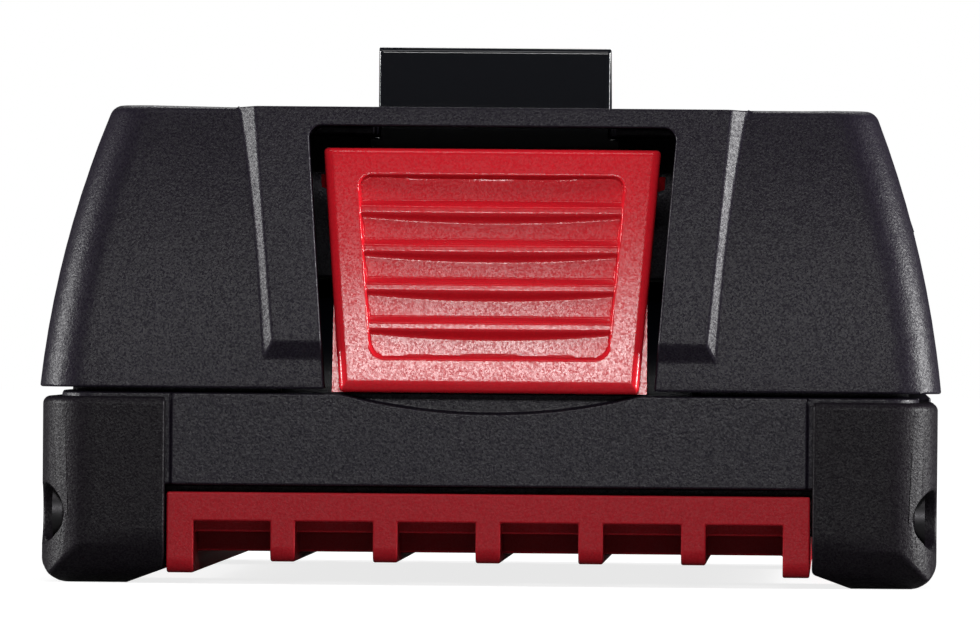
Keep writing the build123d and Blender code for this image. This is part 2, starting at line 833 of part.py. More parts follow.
def release_button():
    """Thumb button: dished and ridged cap, side skirts with flanges, stop lugs and two ramp fingers."""
    bottom = seam_height - button_bottom_gap
    outline = button_outline(0, bottom, button_top)
    outline = fillet(outline.vertices(), button_corner)
    button = following_slice(outline, button_recess, button_recess + button_skin)
    back = skirt_back - half_length
    flange_top = button_top - flange_drop
    flanged = button_outline(flange_width, bottom, flange_top)
    hollow = button_outline(-button_skirt, bottom - overrun, button_top)
    skirts = following_slice(flanged, flange_setback, half_length)
    skirts &= slab((-half_width, half_width), (-half_length - overrun, back), (0, shell_top))
    button += skirts - drawn_back(hollow, (-body_length, 0))
    panel = tapered_outline(panel_bottom_width, panel_top_width, panel_bottom, panel_top)
    panel = fillet(panel.vertices(), panel_corner)
    button -= following_slice(panel, -overrun, button_recess + panel_depth)
    panel_slope = (panel_top_width - panel_bottom_width) / (panel_top - panel_bottom)
    for index in range(ridge_count):
        edge = ridge_first - index * ridge_pitch
        floor_y = frame_face(edge) + button_recess + panel_depth
        top_y = frame_face(edge + ridge_slope) + button_recess + panel_depth
        ridge = polygon(
            (floor_y + overrun, edge),
            (floor_y - ridge_height, edge),
            (top_y, edge + ridge_slope),
            (top_y + overrun, edge + ridge_slope),
        )
        half_ridge = (panel_bottom_width + panel_slope * (edge - panel_bottom)) / 2
        button += drawn_across(ridge, (-half_ridge, half_ridge))
    for side in (-1, 1):
        stop_y = wall_inset(lug_middle + lug_height / 2) - half_length + wall + slip
        inner_x = button_top_width / 2 - button_skirt
        button += slab(
            (side * inner_x, side * (inner_x + lug_reach)),
            (stop_y, stop_y + lug_thickness),
            (lug_middle - lug_height / 2, lug_middle + lug_height / 2),
        )
        place = side * finger_place
        span = (place - finger_width / 2, place + finger_width / 2)
        button += drawn_across(finger_outline(), span)
    return button


def ramp_line(y):
    """Height of the hook plate's ramp under the button's finger."""
    return finger_top + (y - finger_tip()) - ramp_gap * math.sqrt(2)


def latch_hook():
    """Hook, slide plate, spring foot and two ramps, in one moulding."""
    half_hook = hook_width / 2
    ramp_y = plate_front + hook_reach
    profile = polygon(
        (plate_front, plate_shoulder),
        (plate_front, hook_top - hook_edge),
        (plate_front + hook_edge, hook_top),
        (plate_front + hook_nose, hook_top),
        (ramp_y, hook_ramp_foot),
        (ramp_y, plate_shoulder),
    )
    hook = drawn_across(profile, (-half_hook, half_hook))
    hook = fillet(hook.edges().filter_by(Axis.Z).sort_by(Axis.Y)[:2], hook_edge)
    half_plate = plate_width / 2
    hook += slab((-half_plate, half_plate), (plate_front, plate_back), (foot_underside, plate_shoulder))
    foot_span = (plate_front - foot_front_reach, plate_back + foot_back_reach)
    hook += slab((-half_hook, half_hook), foot_span, (foot_underside, foot_top))
    for side in (-1, 1):
        place = side * finger_place
        span = (place - finger_width / 2 - slip, place + finger_width / 2 + slip)
        front = plate_front - ramp_front_reach
        ramp = polygon(
            (front, ramp_line(front)),
            (plate_back, ramp_line(plate_back)),
            (plate_back, ramp_line(front) - ramp_root),
            (plate_front, ramp_line(front) - ramp_root),
            (front, ramp_line(front) - ramp_front_reach / 2),
        )
        window_top = finger_top + button_travel + window_margin
        hook -= slab(span, (plate_front, plate_back), (finger_top, window_top))
        hook += drawn_across(ramp, span)
        rib = (side * half_hook, side * (half_hook - tongue_rib_width))
        rib_y = (plate_back - overrun, plate_back + tongue_rib_reach)
        hook += slab(rib, rib_y, (tongue_rib_bottom, tongue_rib_top))
        hook += rod(post_diameter, side * spring_place, spring_row, (foot_underside - post_height, foot_top))
    return hook


def latch_spring(side):
    """Compression spring between the tub floor and the hook's foot, one tube round a helix."""
    low = floor_top + spring_wire / 2 + fit
    high = foot_underside - spring_wire / 2 - fit
    steps_per_turn = 4
    steps = int(spring_turns * steps_per_turn)
    x = side * spring_place

    def place(step):
        angle = 2 * math.pi * step / steps_per_turn
        height = low + (high - low) * step / steps
        return Vector(
            x + spring_mean_radius * math.cos(angle),
            spring_row + spring_mean_radius * math.sin(angle),
            height,
        )

    rise = (high - low) / steps * steps_per_turn / (2 * math.pi)

    def heading(step):
        angle = 2 * math.pi * step / steps_per_turn
        direction = Vector(-spring_mean_radius * math.sin(angle), spring_mean_radius * math.cos(angle), rise)
        return direction.normalized()

    edges = []
    for step in range(steps):
        start, end = place(step), place(step + 1)
        out, back = heading(step), heading(step + 1)
        chord = end - start
        spread = 2 * (out.dot(back) - 1)
        slope = -2 * chord.dot(out + back)
        reach = (-slope - math.sqrt(slope**2 - 4 * spread * chord.dot(chord))) / (2 * spread)
        meeting = (start + out * reach + end - back * reach) * 0.5
        edges.append(Edge.make_tangent_arc(start, out, meeting))
        edges.append(Edge.make_tangent_arc(meeting, edges[-1] % 1, end))
    path = Wire(edges)
    section = Plane(origin=place(0), z_dir=heading(0)) * Circle(spring_wire / 2)
    gap = (high - low) / spring_turns - spring_wire
    print("spring", side, "gap between turns", round(gap, 2))
    return sweep(section, path=path)


def cell_side(index):
    """Side that a cell's positive nub points to, each cell the other way from the last."""
    return 1 if index % 2 == 0 else -1


def cell(index):
    """Round cell lying across the pack."""
    side = cell_side(index)
    half = cell_length / 2
    y = cell_rows[index]
    can = cross_rod(cell_diameter, (-side * half, side * (half - nub_height)), y, cell_axis_height)
    can = fillet(can.edges(), cell_rim)
    return can + cross_rod(nub_diameter, (0, side * half), y, cell_axis_height)


def link_groups():
    """Side, first cell and last cell of each strip: -1 is the left side, 1 is the right side."""
    last = cell_count - 1
    groups = {"negative_tab": (-1, 0, 0), "positive_tab": (cell_side(last), last, last)}
    for index in range(last):
        groups[f"series_link_{index + 1}_{index + 2}"] = (cell_side(index), index, index + 1)
    return groups


def link_shape(side, first, last, growth, depth):
    """Strip over one or two cell ends with a tab up to the board."""
    low_x = side * cell_length / 2
    high_x = side * (cell_length / 2 + depth)
    y_span = (cell_rows[first] - link_margin - growth, cell_rows[last] + link_margin + growth)
    half = link_height / 2 + growth
    strip = slab((low_x, high_x), y_span, (cell_axis_height - half, cell_axis_height + half))
    centre = (cell_rows[first] + cell_rows[last]) / 2
    tab_y = (centre - link_tab_width / 2 - growth, centre + link_tab_width / 2 + growth)
    return strip + slab((low_x, high_x), tab_y, (cell_axis_height, board_underside))


def cell_holder(side):
    """Moulded comb that holds one end of every cell, recessed for the links."""
    half = cell_length / 2
    outer_x = half + holder_end
    x_span = (side * (outer_x - holder_depth), side * outer_x)
    holder = slab(x_span, (holder_front, holder_back), (floor_top, holder_top))
    for y in cell_rows:
        bore = (side * (outer_x - holder_depth - overrun), side * (half + fit))
        holder -= cross_rod(cell_diameter + 2 * fit, bore, y, cell_axis_height)
        holder -= cross_rod(holder_window, (0, side * (outer_x + overrun)), y, cell_axis_height)
    gap = (cell_axis_height - holder_web_gap / 2, cell_axis_height + holder_web_gap / 2)
    holder -= slab((0, side * (half + fit)), (cell_rows[0], cell_rows[-1]), gap)
    for group_side, first, last in link_groups().values():
        if group_side == side:
            holder -= link_shape(side, first, last, link_recess, holder_end + overrun)
    for y in standoff_rows:
        holder += rod(standoff_diameter, side * standoff_place, y, (holder_top - fit, board_underside))
        bore = (board_top - board_screw_length - slip, board_top)
        holder -= rod(board_screw_shank + 2 * fit, side * standoff_place, y, bore)
    return holder


def end_insulator(side):
    """Card sheet over the links."""
    start = cell_length / 2 + holder_end
    y_span = (holder_front + insulator_margin, holder_back - insulator_margin)
    z_span = (floor_top + insulator_margin, holder_top - insulator_margin)
    return slab((side * start, side * (start + insulator_thickness)), y_span, z_span)


def foam_pad():
    """Thin foam between the tub floor and the cells."""
    half = cell_length / 2 - foam_side_setback
    y_span = (cell_rows[0], cell_rows[-1])
    return slab((-half, half), y_span, (floor_top, floor_top + foam_thickness))


def circuit_board():
    half = board_width / 2
    y_span = (holder_front + board_front_trim, holder_back - board_margin)
    board = slab((-half, half), y_span, (board_underside, board_top))
    for side in (-1, 1):
        for y in standoff_rows:
            hole = board_screw_shank + 2 * slip
            board -= rod(hole, side * standoff_place, y, (board_underside, board_top))
    return board


def board_screws():
    screws = []
    for side in (-1, 1):
        for y in standoff_rows:
            x = side * standoff_place
            screw = rod(board_screw_head, x, y, (board_top, board_top + board_screw_head_height))
            screw += rod(board_screw_shank, x, y, (board_top - board_screw_length, board_top))
            screws.append(screw)
    return screws


def on_board(size, place):
    """Block-shaped part standing on the board."""
    width, length, height = size
    x, y = place
    high = board_top + height
    return slab((x - width / 2, x + width / 2), (y - length / 2, y + length / 2), (board_top, high))


def power_switches():
    middle = (switch_count - 1) / 2
    places = [((index - middle) * switch_pitch, switch_row) for index in range(switch_count)]
    return [on_board(switch_size, place) for place in places]


def thermistor():
    """Bead in the valley between the third and fourth cells, with two leads up to the board."""
    y = (cell_rows[2] + cell_rows[3]) / 2
    reach = (cell_diameter + bead_diameter) / 2 + fit
    height = cell_axis_height + math.sqrt(reach**2 - (cell_pitch / 2) ** 2)
    bead = cross_rod(bead_diameter, (-bead_length / 2, bead_length / 2), y, height)
    for side in (-1, 1):
        bead += rod(lead_diameter, side * lead_spacing / 2, y, (height, board_underside))
    return bead


def socket_places():
    return [(index - (socket_count - 1) / 2) * socket_pitch for index in range(socket_count)]


def block_span():
    """Front and back of the terminal block."""
    back = platform_end - wall - 2 * fit
    return (back - block_length, back)


def socket_front_y():
    return block_span()[0] + socket_front_wall


def terminal_block():
    """Socket moulding on the board, with a slot for each blade."""
    half = block_width / 2
    front, back = block_span()
    block = slab((-half, half), (front, back), (board_top, board_top + block_height))
    leg_y = (front + back) / 2
    for place in socket_places():
        span = (place - socket_width / 2, place + socket_width / 2)
        high = board_top + block_height + overrun
        block -= slab(span, (socket_front_y(), back + overrun), (board_top + socket_floor, high))
        leg_x = (contact_leg_width + 2 * fit) / 2
        leg_half = contact_leg_length / 2 + fit
        leg_span = (leg_y - leg_half, leg_y + leg_half)
        block -= slab((place - leg_x, place + leg_x), leg_span, (board_top, board_top + socket_floor))
    return block


def contact(place):
    """Forked blade contact on the socket's floor, with a leg down to the board."""
    front, back = block_span()
    leg_y = (front + back) / 2
    floor = board_top + socket_floor
    outer = contact_gap / 2 + contact_leaf
    y_span = (back - contact_inset - contact_length, back - contact_inset)
    fork = slab((place - outer, place + outer), y_span, (floor, floor + contact_base))
    for side in (-1, 1):
        leaf = (place + side * contact_gap / 2, place + side * outer)
        fork += slab(leaf, y_span, (floor, floor + contact_height))
    leg_x = (place - contact_leg_width / 2, place + contact_leg_width / 2)
    leg_span = (leg_y - contact_leg_length / 2, leg_y + contact_leg_length / 2)
    return fork + slab(leg_x, leg_span, (board_top, floor + contact_base))


def build_nodes():
    sockets = socket_places()
    nodes = {
        "upper_housing": upper_housing(),
        "lower_housing": lower_housing(),
        "skid_tray": skid_tray(),
        "front_left_bumper": bumper(-1, -1),
        "front_right_bumper": bumper(1, -1),
        "rear_left_bumper": bumper(-1, 1),
        "rear_right_bumper": bumper(1, 1),
        "bumper_screws": bumper_screws(),
        "housing_screws": housing_screws(),
        "release_button": release_button(),
        "latch_hook": latch_hook(),
        "latch_spring_left": latch_spring(-1),
        "latch_spring_right": latch_spring(1),
        "cell_holder_left": cell_holder(-1),
        "cell_holder_right": cell_holder(1),
        "end_insulator_left": end_insulator(-1),
        "end_insulator_right": end_insulator(1),
        "foam_pad": foam_pad(),
        "circuit_board": circuit_board(),
        "board_screws": board_screws(),
        "control_chip": on_board(chip_size, chip_place),
        "power_switches": power_switches(),
        "shunt_resistor": on_board(shunt_size, shunt_place),
        "thermistor": thermistor(),
        "terminal_block": terminal_block(),
        "terminal_positive": contact(sockets[-1]),
        "terminal_negative": contact(sockets[0]),
        "signal_contacts": [contact(place) for place in sockets[1:-1]],
    }
    for index in range(cell_count):
        nodes[f"cell_{index + 1}"] = cell(index)
    for name, (side, first, last) in link_groups().items():
        nodes[name] = link_shape(side, first, last, 0, link_thickness)
    return nodes


os.makedirs("parts", exist_ok=True)
for name, shape in build_nodes().items():
    solids = shape if isinstance(shape, list) else [shape]
    bodies = [solid for piece in solids for solid in piece.solids()]
    export_step(Compound(bodies) if len(bodies) > 1 else bodies[0], f"parts/{name}.step")
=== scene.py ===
import json
import math

import bpy
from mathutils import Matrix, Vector


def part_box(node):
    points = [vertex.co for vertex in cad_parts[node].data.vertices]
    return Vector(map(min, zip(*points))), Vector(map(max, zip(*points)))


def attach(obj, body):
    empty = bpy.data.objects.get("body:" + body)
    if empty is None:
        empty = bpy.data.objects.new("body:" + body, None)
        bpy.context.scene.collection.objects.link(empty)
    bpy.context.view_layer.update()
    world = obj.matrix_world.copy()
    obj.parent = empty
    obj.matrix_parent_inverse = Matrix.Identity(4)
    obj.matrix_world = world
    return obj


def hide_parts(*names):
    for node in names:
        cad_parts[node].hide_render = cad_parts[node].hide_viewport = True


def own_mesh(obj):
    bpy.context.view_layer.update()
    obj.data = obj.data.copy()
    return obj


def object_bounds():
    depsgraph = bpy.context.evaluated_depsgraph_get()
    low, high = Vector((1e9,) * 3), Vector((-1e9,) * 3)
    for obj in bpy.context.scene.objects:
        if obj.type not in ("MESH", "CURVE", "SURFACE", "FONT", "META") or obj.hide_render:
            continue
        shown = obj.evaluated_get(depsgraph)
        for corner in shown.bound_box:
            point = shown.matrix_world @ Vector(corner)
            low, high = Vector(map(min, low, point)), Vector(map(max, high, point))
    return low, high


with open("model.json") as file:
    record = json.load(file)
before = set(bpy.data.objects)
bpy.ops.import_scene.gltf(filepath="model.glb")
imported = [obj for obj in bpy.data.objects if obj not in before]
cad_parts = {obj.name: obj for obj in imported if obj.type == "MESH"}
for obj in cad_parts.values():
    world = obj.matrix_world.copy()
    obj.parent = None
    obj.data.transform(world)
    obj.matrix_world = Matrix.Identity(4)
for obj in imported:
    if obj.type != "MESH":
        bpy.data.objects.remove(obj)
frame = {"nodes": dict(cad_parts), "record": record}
nodes = frame["nodes"]
cad_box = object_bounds()
mm = 0.001
right_angle = math.pi / 2

# Camera: level with the middle of the pack's button end, through a long lens. It stands a degree and a half
# to the pack's right and is rolled half a degree. The lens is as long as the pack's width in the frame asks.
picture_width = 980
pack_left_pixel = 42
pack_right_pixel = 940
picture_middle_x = 0.05 * mm
picture_middle_z = 23.75 * mm
camera_distance = 1200 * mm
widest_setback = 10 * mm
camera_yaw = math.radians(1.5)
camera_roll = math.radians(-0.5)
film_width = 36
farthest_seen = 20
shell_low, shell_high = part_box("upper_housing")
view_width = (shell_high.x - shell_low.x) * picture_width / (pack_right_pixel - pack_left_pixel)
look_at = Vector((picture_middle_x, cad_box[0][1], picture_middle_z))
line_of_sight = Vector((math.sin(camera_yaw), -math.cos(camera_yaw), 0))
bpy.ops.object.camera_add(
    location=look_at + camera_distance * line_of_sight, rotation=(right_angle, camera_roll, camera_yaw)
)
camera = bpy.context.object
camera.name = "picture_camera"
camera.data.sensor_width = film_width
camera.data.lens = film_width * (camera_distance + widest_setback) / view_width
camera.data.clip_end = farthest_seen
bpy.context.scene.camera = camera
bpy.context.scene.view_settings.view_transform = "Standard"


# Studio: soft boxes in front, above, behind and at both sides, round a pale paper floor that meets a white
# background. Paper and background glow for the camera alone, so that they hardly light the pack.
lamp_aim = Vector((0, -50 * mm, 24 * mm))


def soft_box(name, place, width, height, watts):
    """Rectangular lamp turned towards the pack's front face."""
    facing = (lamp_aim - Vector(place)).to_track_quat("-Z", "Y").to_euler()
    bpy.ops.object.light_add(type="AREA", location=place, rotation=facing)
    lamp = bpy.context.object
    lamp.name = name
    lamp.data.shape = "RECTANGLE"
    lamp.data.size = width
    lamp.data.size_y = height
    lamp.data.energy = watts


soft_box("front_box", place=(0.03, -1.05, 0.36), width=0.50, height=0.09, watts=6.5)
soft_box("high_box", place=(-0.10, -0.35, 0.95), width=0.50, height=0.30, watts=2.0)
soft_box("left_box", place=(-0.85, -0.06, 0.19), width=0.14, height=0.24, watts=11.5)
soft_box("right_box", place=(0.85, -0.06, 0.19), width=0.14, height=0.24, watts=18.5)
soft_box("back_box", place=(0, 0.75, 0.75), width=0.60, height=0.30, watts=4)

white = (1, 1, 1, 1)
background_light = 0.015
background_seen = 1.0
world = bpy.data.worlds.new("studio")
bpy.context.scene.world = world
world.use_nodes = True
world_links = world.node_tree.links
background = world.node_tree.nodes["Background"]
background.inputs["Color"].default_value = white
ray_kind = world.node_tree.nodes.new("ShaderNodeLightPath")
level = world.node_tree.nodes.new("ShaderNodeMapRange")
level.inputs["To Min"].default_value = background_light
level.inputs["To Max"].default_value = background_seen
world_links.new(ray_kind.outputs["Is Camera Ray"], level.inputs["Value"])
world_links.new(level.outputs["Result"], background.inputs["Strength"])

paper_size = 6
paper_grey = 0.2
paper_roughness = 0.9
# Painted shade on the paper: its glow is lower near the pack and rises to full white further out.
painted_shade_glow = 0.8
glow_far = 1.0
painted_shade_radius = 0.10
painted_shade_end_radius = 0.45
bpy.ops.object.select_all(action="DESELECT")
bpy.ops.mesh.primitive_plane_add(size=paper_size)
floor = bpy.context.object
floor.name = "paper_floor"


def paper_material():
    """White paper that glows for the camera, with painted shade: it glows less round the pack, where its
    shadow falls.
    """
    material = bpy.data.materials.new("white_paper")
    material.use_nodes = True
    tree = material.node_tree
    shader = tree.nodes["Principled BSDF"]
    shader.inputs["Base Color"].default_value = (paper_grey, paper_grey, paper_grey, 1)
    shader.inputs["Roughness"].default_value = paper_roughness
    shader.inputs["Emission Color"].default_value = white
    place = tree.nodes.new("ShaderNodeTexCoord")
    distance = tree.nodes.new("ShaderNodeVectorMath")
    distance.operation = "LENGTH"
    tree.links.new(place.outputs["Object"], distance.inputs[0])
    # Painted shade: the glow fades up from its low value near the pack to full white at the outer radius.
    painted_shade_fade = tree.nodes.new("ShaderNodeMapRange")
    painted_shade_fade.inputs["From Min"].default_value = painted_shade_radius
    painted_shade_fade.inputs["From Max"].default_value = painted_shade_end_radius
    painted_shade_fade.inputs["To Min"].default_value = painted_shade_glow
    painted_shade_fade.inputs["To Max"].default_value = glow_far
    tree.links.new(distance.outputs["Value"], painted_shade_fade.inputs["Value"])
    seen = tree.nodes.new("ShaderNodeLightPath")
    glow = tree.nodes.new("ShaderNodeMath")
    glow.operation = "MULTIPLY"
    tree.links.new(seen.outputs["Is Camera Ray"], glow.inputs[0])
    tree.links.new(painted_shade_fade.outputs["Result"], glow.inputs[1])
    tree.links.new(glow.outputs["Value"], shader.inputs["Emission Strength"])
    return material


floor.data.materials.append(paper_material())


# Upper housing: one injection moulding in black glass-filled nylon, spark-textured outside. It has the
# button's pocket and raised frame at its front end and the rails on top. Four long screws hold it to the tub.
doubled_gap = 0.05 * mm
flat_angle = 0.5
sharp_angle = 28
edge_segments = 3
moulding_smooth_angle = 40
specks_to_pebble = 1.6
pebble_detail = 2
pebble_roughness = 0.6
dark_pebbles = 0.35
light_pebbles = 0.65
dull_facets = 0.2
bright_facets = 0.8


def select_only(piece):
    """Makes this the one selected object and the active one."""
    bpy.ops.object.select_all(action="DESELECT")
    piece.select_set(True)
    bpy.context.view_layer.objects.active = piece


def own_copy(name, node_name):
    """Own mesh over a CAD node, with its doubled points merged."""
    piece = bpy.data.objects.new(name, nodes[node_name].data.copy())
    bpy.context.collection.objects.link(piece)
    piece.data.name = name
    piece.data.materials.clear()
    select_only(piece)
    bpy.ops.mesh.customdata_custom_splitnormals_clear()
    bpy.ops.object.mode_set(mode="EDIT")
    bpy.ops.mesh.select_all(action="SELECT")
    bpy.ops.mesh.remove_doubles(threshold=doubled_gap)
    bpy.ops.object.mode_set(mode="OBJECT")
    return piece


def join_flats(piece):
    """Turns each flat area of the mesh into one face."""
    select_only(piece)
    bpy.ops.object.mode_set(mode="EDIT")
    bpy.ops.mesh.select_all(action="SELECT")
    bpy.ops.mesh.dissolve_limited(angle_limit=math.radians(flat_angle))
    bpy.ops.object.mode_set(mode="OBJECT")


def smooth(piece, angle):
    """Smooth shading up to an angle in degrees, with the large faces kept flat."""
    select_only(piece)
    bpy.ops.object.shade_smooth_by_angle(angle=math.radians(angle))
    flats = piece.modifiers.new("flats", "WEIGHTED_NORMAL")
    flats.keep_sharp = True
    bpy.ops.object.modifier_apply(modifier=flats.name)


def round_edges(piece, edge_radius):
    """Rounds every sharp edge as a mould leaves it, and smooths the shading over it."""
    select_only(piece)
    edges = piece.modifiers.new("edges", "BEVEL")
    edges.width = edge_radius
    edges.segments = edge_segments
    edges.limit_method = "ANGLE"
    edges.angle_limit = math.radians(sharp_angle)
    edges.use_clamp_overlap = False
    bpy.ops.object.modifier_apply(modifier=edges.name)
    smooth(piece, angle=moulding_smooth_angle)


def moulding(name, node_name, edge_radius):
    """Own mesh over a moulded CAD node, with its edges rounded."""
    piece = own_copy(name, node_name)
    join_flats(piece)
    round_edges(piece, edge_radius)
    return piece


def frame_body(node_name):
    """Body that carries a CAD node."""
    bodies = frame["record"]["behaviour"]["bodies"]
    return next(body for body, members in bodies.items() if node_name in members)


def fit_to_frame(piece, node_name):
    """The piece rides where its CAD node does and stands for it, with the node hidden."""
    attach(piece, frame_body(node_name))
    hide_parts(node_name)


def moulded_plastic(name, color, roughness, specular, grain, sparkle, tone=0.1, speck=0.16 * mm):
    """Spark-textured plastic: a fine pebbled grain, with small glints where a facet reflects more."""
    material = bpy.data.materials.new(name)
    material.use_nodes = True
    tree = material.node_tree
    links = tree.links
    shader = tree.nodes["Principled BSDF"]
    shader.inputs["Roughness"].default_value = roughness
    place = tree.nodes.new("ShaderNodeTexCoord")
    pebbles = tree.nodes.new("ShaderNodeTexNoise")
    pebbles.inputs["Scale"].default_value = 1 / (specks_to_pebble * speck)
    pebbles.inputs["Detail"].default_value = pebble_detail
    pebbles.inputs["Roughness"].default_value = pebble_roughness
    links.new(place.outputs["Object"], pebbles.inputs["Vector"])
    bump = tree.nodes.new("ShaderNodeBump")
    bump.inputs["Strength"].default_value = grain
    bump.inputs["Distance"].default_value = speck
    links.new(pebbles.outputs["Fac"], bump.inputs["Height"])
    links.new(bump.outputs["Normal"], shader.inputs["Normal"])
    glints = tree.nodes.new("ShaderNodeTexVoronoi")
    glints.inputs["Scale"].default_value = 1 / speck
    links.new(place.outputs["Object"], glints.inputs["Vector"])
    facets = tree.nodes.new("ShaderNodeMapRange")
    facets.inputs["From Min"].default_value = dull_facets
    facets.inputs["From Max"].default_value = bright_facets
    facets.inputs["To Min"].default_value = specular * (1 - sparkle)
    facets.inputs["To Max"].default_value = specular * (1 + sparkle)
    links.new(glints.outputs["Color"], facets.inputs["Value"])
    links.new(facets.outputs["Result"], shader.inputs["Specular IOR Level"])
    shades = tree.nodes.new("ShaderNodeValToRGB")
    shades.color_ramp.elements[0].position = dark_pebbles
    shades.color_ramp.elements[0].color = (*[channel * (1 - tone) for channel in color], 1)
    shades.color_ramp.elements[1].position = light_pebbles
    shades.color_ramp.elements[1].color = (*[channel * (1 + tone) for channel in color], 1)
    links.new(pebbles.outputs["Fac"], shades.inputs["Fac"])
    links.new(shades.outputs["Color"], shader.inputs["Base Color"])
    return material


shell_edge = 0.22 * mm
shell_black = (0.0078, 0.006, 0.0106)
shell_texture = {"roughness": 0.42, "grain": 0.3, "sparkle": 0.55, "tone": 0.2, "speck": 0.13 * mm}
frame_tip = Vector((23.0, -53.3, 42.55)) * mm
tip_reach = 0.33 * mm
tip_merge_gap = 0.7 * mm
shell_nylon = moulded_plastic("shell_nylon", shell_black, specular=0.13, **shell_texture)
upper_shell = own_copy("upper_shell", "upper_housing")
join_flats(upper_shell)

# At each upper outer tip of the raised frame several points lie close together. They are merged into one,
# because rounding would draw them out into spikes.
select_only(upper_shell)
bpy.ops.object.mode_set(mode="EDIT")
bpy.ops.mesh.select_mode(type="VERT")
bpy.ops.mesh.select_all(action="DESELECT")
bpy.ops.object.mode_set(mode="OBJECT")
for vertex in upper_shell.data.vertices:
    right_side = Vector((abs(vertex.co.x), vertex.co.y, vertex.co.z))
    vertex.select = (right_side - frame_tip).length < tip_reach
bpy.ops.object.mode_set(mode="EDIT")
bpy.ops.mesh.remove_doubles(threshold=tip_merge_gap)
bpy.ops.object.mode_set(mode="OBJECT")
round_edges(upper_shell, shell_edge)
upper_shell.data.materials.append(shell_nylon)
fit_to_frame(upper_shell, "upper_housing")

# Lower housing: the tub under the cells, moulded in the same black nylon and screwed to the upper housing
# from below. Its band shows across the front between the bumpers, and catches a little more light.
lower_shell = moulding("lower_shell", "lower_housing", shell_edge)
tub_nylon = moulded_plastic("tub_nylon", shell_black, specular=0.22, **shell_texture)
lower_shell.data.materials.append(tub_nylon)
fit_to_frame(lower_shell, "lower_housing")

# Skid tray: dark red nylon, moulded with a ribbed band at the front and the rear and with skids between
# them, on which the pack slides. It is held under the tub by four pegs.
tray_edge = 0.18 * mm
tray_red = (0.28, 0.006, 0.0115)
tray_nylon = moulded_plastic(
    "tray_nylon", tray_red, roughness=0.5, specular=0.13, grain=0.2, sparkle=0.4, tone=0.08, speck=0.13 * mm
)
tray = moulding("red_skid_tray", "skid_tray", tray_edge)
tray.data.materials.append(tray_nylon)
fit_to_frame(tray, "skid_tray")

# Corner bumpers: black thermoplastic rubber moulded as four separate caps, each held by one screw from the
# side. They take the knocks when the pack is dropped, and the pack stands on their feet.
bumper_edge = 0.3 * mm
bumper_black = (0.0036, 0.0024, 0.0042)
bumper_rubber = moulded_plastic(
    "bumper_rubber",
    bumper_black,
    roughness=0.48,
    specular=0.12,
    grain=0.3,
    sparkle=0.5,
    tone=0.2,
    speck=0.13 * mm,
)
for node_name in ("front_left_bumper", "front_right_bumper", "rear_left_bumper", "rear_right_bumper"):
    bumper = moulding(f"{node_name}_cap", node_name, bumper_edge)
    bumper.data.materials.append(bumper_rubber)
    fit_to_frame(bumper, node_name)

# Release button: red nylon. The thumb presses its dished panel, and four ridges across the panel stop the
# thumb from slipping. Its cap is moulded in one with the side skirts, the stop lugs and the fingers behind.
button_low, button_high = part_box("release_button")
button_half_top = 15.05 * mm
button_half_foot = 13.3 * mm
button_foot = button_low.z
button_head = button_high.z
button_edge = 0.9 * mm
button_head_edge = 0.5 * mm
button_foot_round = 1.1 * mm
button_head_corner = 0.4 * mm
button_foot_corner = 0.55 * mm
cap_thickness = 1.4 * mm
cap_columns = 330
cap_rows = 240
cap_smooth_angle = 50
panel_head = 36.6 * mm
panel_foot = 20.1 * mm
panel_half_top = 12.05 * mm
panel_half_foot = 10.65 * mm
panel_corner = 1.3 * mm
panel_step = 0.45 * mm
panel_depth = 0.65 * mm
panel_dish = 0.5 * mm
ridge_count = 4
ridge_pitch = 3.46 * mm
top_crest = 33.45 * mm
ridge_crests = [top_crest - row * ridge_pitch for row in range(ridge_count)]
ridge_rise = 0.67 * mm
ridge_flat = 0.24 * mm
ridge_crest_depth = 0.22 * mm
ridge_ledge_slope = 0.95
ridge_lip_share = 0.3
ridge_lip_run = 0.15 * mm
skirt_overlap = 0.3 * mm
skirt_smooth_angle = 30
flange_top = 25.3 * mm
flange_reach = 1.0 * mm
lug_shown = 0.55 * mm
lug_lean = 0.6
lug_taper = 0.3
button_red = (0.48, 0.0088, 0.0165)
button_nylon = moulded_plastic(
    "button_nylon",
    button_red,
    roughness=0.2,
    specular=0.21,
    grain=0.004,
    sparkle=0.66,
    tone=0.08,
    speck=0.15 * mm,
)


def button_half(height):
    """Half of the button's width at this height."""
    share = (height - button_foot) / (button_head - button_foot)
    return button_half_foot + share * (button_half_top - button_half_foot)


def panel_half(height):
    """Half of the dished panel's width at this height."""
    share = (height - panel_foot) / (panel_head - panel_foot)
    return panel_half_foot + share * (panel_half_top - panel_half_foot)


def rim_face(height):
    """Where the CAD button's front face stands at this height, beside the panel."""
    start = Vector(((button_half(height) + panel_half(height)) / 2, 2 * button_low.y, height))
    return nodes["release_button"].ray_cast(start, Vector((0, 1, 0)))[1].y


def bowed_line(low, high):
    """Smooth curve through the CAD face at two heights and half way between them."""
    middle = (low + high) / 2
    at_low, at_middle, at_high = (rim_face(height) for height in (low, middle, high))

    def face(height):
        share = (height - low) / (high - low)
        bow = at_middle - (at_low + at_high) / 2
        return at_low + share * (at_high - at_low) + 4 * bow * share * (1 - share)

    return face


def rounding(distance, radius):
    """Depth of a rounded edge at this distance in from it."""
    inward = min(max(distance, 0), radius)
    return radius - math.sqrt(radius**2 - (radius - inward) ** 2)


def panel_inside(x, height):
    """Distance in from the panel's outline, whose corners are round."""
    side = panel_half(height) - abs(x)
    end = min(panel_head - height, height - panel_foot)
    if side < panel_corner and end < panel_corner:
        return panel_corner - math.hypot(panel_corner - side, panel_corner - end)
    return min(side, end)


def eased(share):
    """Smooth step from 0 to 1."""
    held = min(max(share, 0), 1)
    return held * held * (3 - 2 * held)


